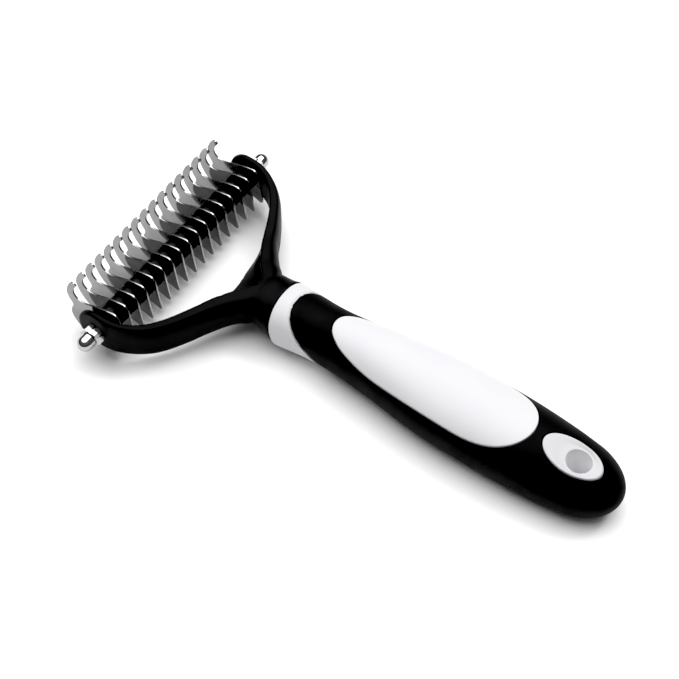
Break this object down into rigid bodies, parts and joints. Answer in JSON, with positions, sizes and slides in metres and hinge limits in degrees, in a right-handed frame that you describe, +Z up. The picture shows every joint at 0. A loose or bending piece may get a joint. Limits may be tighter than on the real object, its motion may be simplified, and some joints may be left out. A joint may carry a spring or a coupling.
{
  "type": "undercoat rake",
  "caption": "Grooming rake: hooked steel blades threaded on an axle in a forked yoke, on a rubber grip with a thumb pad and a hanging eyelet.",
  "frame": {"origin": "centre of the tool's footprint, on the ground it rests on", "axes": "+X from the blades to the end of the handle, +Y along the axle, +Z up from the side with the lower hooks to the side with the thumb pad"},
  "size_m": [0.1887, 0.1032, 0.0252],
  "materials": {
    "grip_sleeve": "matt black soft-touch rubber",
    "handle_core": "satin white moulded plastic",
    "thumb_pad": "satin white moulded plastic",
    "hang_eyelet": "satin white moulded plastic",
    "yoke": "satin black moulded plastic",
    "axle_rod": "plain threaded rod",
    "blade_01": "polished stainless steel",
    "blade_02": "polished stainless steel",
    "blade_03": "polished stainless steel",
    "blade_04": "polished stainless steel",
    "blade_05": "polished stainless steel",
    "blade_06": "polished stainless steel",
    "blade_07": "polished stainless steel",
    "blade_08": "polished stainless steel",
    "blade_09": "polished stainless steel",
    "blade_10": "polished stainless steel",
    "blade_11": "polished stainless steel",
    "blade_12": "polished stainless steel",
    "blade_13": "polished stainless steel",
    "blade_14": "polished stainless steel",
    "blade_15": "polished stainless steel",
    "blade_16": "polished stainless steel",
    "blade_17": "polished stainless steel",
    "spacer_01": "black plastic",
    "spacer_02": "black plastic",
    "spacer_03": "black plastic",
    "spacer_04": "black plastic",
    "spacer_05": "black plastic",
    "spacer_06": "black plastic",
    "spacer_07": "black plastic",
    "spacer_08": "black plastic",
    "spacer_09": "black plastic",
    "spacer_10": "black plastic",
    "spacer_11": "black plastic",
    "spacer_12": "black plastic",
    "spacer_13": "black plastic",
    "spacer_14": "black plastic",
    "spacer_15": "black plastic",
    "spacer_16": "black plastic",
    "end_spacer_far": "black plastic",
    "end_spacer_near": "black plastic",
    "washer_far": "plain steel",
    "washer_near": "plain steel",
    "cap_nut_far": "bright nickel plate",
    "cap_nut_near": "bright nickel plate"
  },
  "bodies": {
    "handle": {"grip_sleeve": "grip_sleeve", "handle_core": "handle_core", "thumb_pad": "thumb_pad", "hang_eyelet": "hang_eyelet", "yoke": "yoke", "axle_rod": "axle_rod", "blade_01": "blade_01", "blade_02": "blade_02", "blade_03": "blade_03", "blade_04": "blade_04", "blade_05": "blade_05", "blade_06": "blade_06", "blade_07": "blade_07", "blade_08": "blade_08", "blade_09": "blade_09", "blade_10": "blade_10", "blade_11": "blade_11", "blade_12": "blade_12", "blade_13": "blade_13", "blade_14": "blade_14", "blade_15": "blade_15", "blade_16": "blade_16", "blade_17": "blade_17", "spacer_01": "spacer_01", "spacer_02": "spacer_02", "spacer_03": "spacer_03", "spacer_04": "spacer_04", "spacer_05": "spacer_05", "spacer_06": "spacer_06", "spacer_07": "spacer_07", "spacer_08": "spacer_08", "spacer_09": "spacer_09", "spacer_10": "spacer_10", "spacer_11": "spacer_11", "spacer_12": "spacer_12", "spacer_13": "spacer_13", "spacer_14": "spacer_14", "spacer_15": "spacer_15", "spacer_16": "spacer_16", "end_spacer_far": "end_spacer_far", "end_spacer_near": "end_spacer_near"},
    "washer_far": {"washer_far": "washer_far"},
    "cap_nut_far": {"cap_nut_far": "cap_nut_far"},
    "washer_near": {"washer_near": "washer_near"},
    "cap_nut_near": {"cap_nut_near": "cap_nut_near"}
  },
  "joints": [
    {"name": "far_nut_travel", "type": "slide", "parent": "handle", "child": "washer_far", "axis": [0, 1, 0], "range_m": [0, 0.0056]},
    {"name": "far_nut_turn", "type": "hinge", "parent": "washer_far", "child": "cap_nut_far", "pos_m": [-0.0786, 0.045, 0.0124], "axis": [0, 1, 0], "range_deg": [0, 2880]},
    {"name": "near_nut_travel", "type": "slide", "parent": "handle", "child": "washer_near", "axis": [0, -1, 0], "range_m": [0, 0.0056]},
    {"name": "near_nut_turn", "type": "hinge", "parent": "washer_near", "child": "cap_nut_near", "pos_m": [-0.0786, -0.045, 0.0124], "axis": [0, -1, 0], "range_deg": [0, 2880]}
  ],
  "couplings": [
    {"joint": "far_nut_turn", "follows": "far_nut_travel", "rad_per_m": 8976},
    {"joint": "near_nut_turn", "follows": "near_nut_travel", "rad_per_m": 8976}
  ]
}
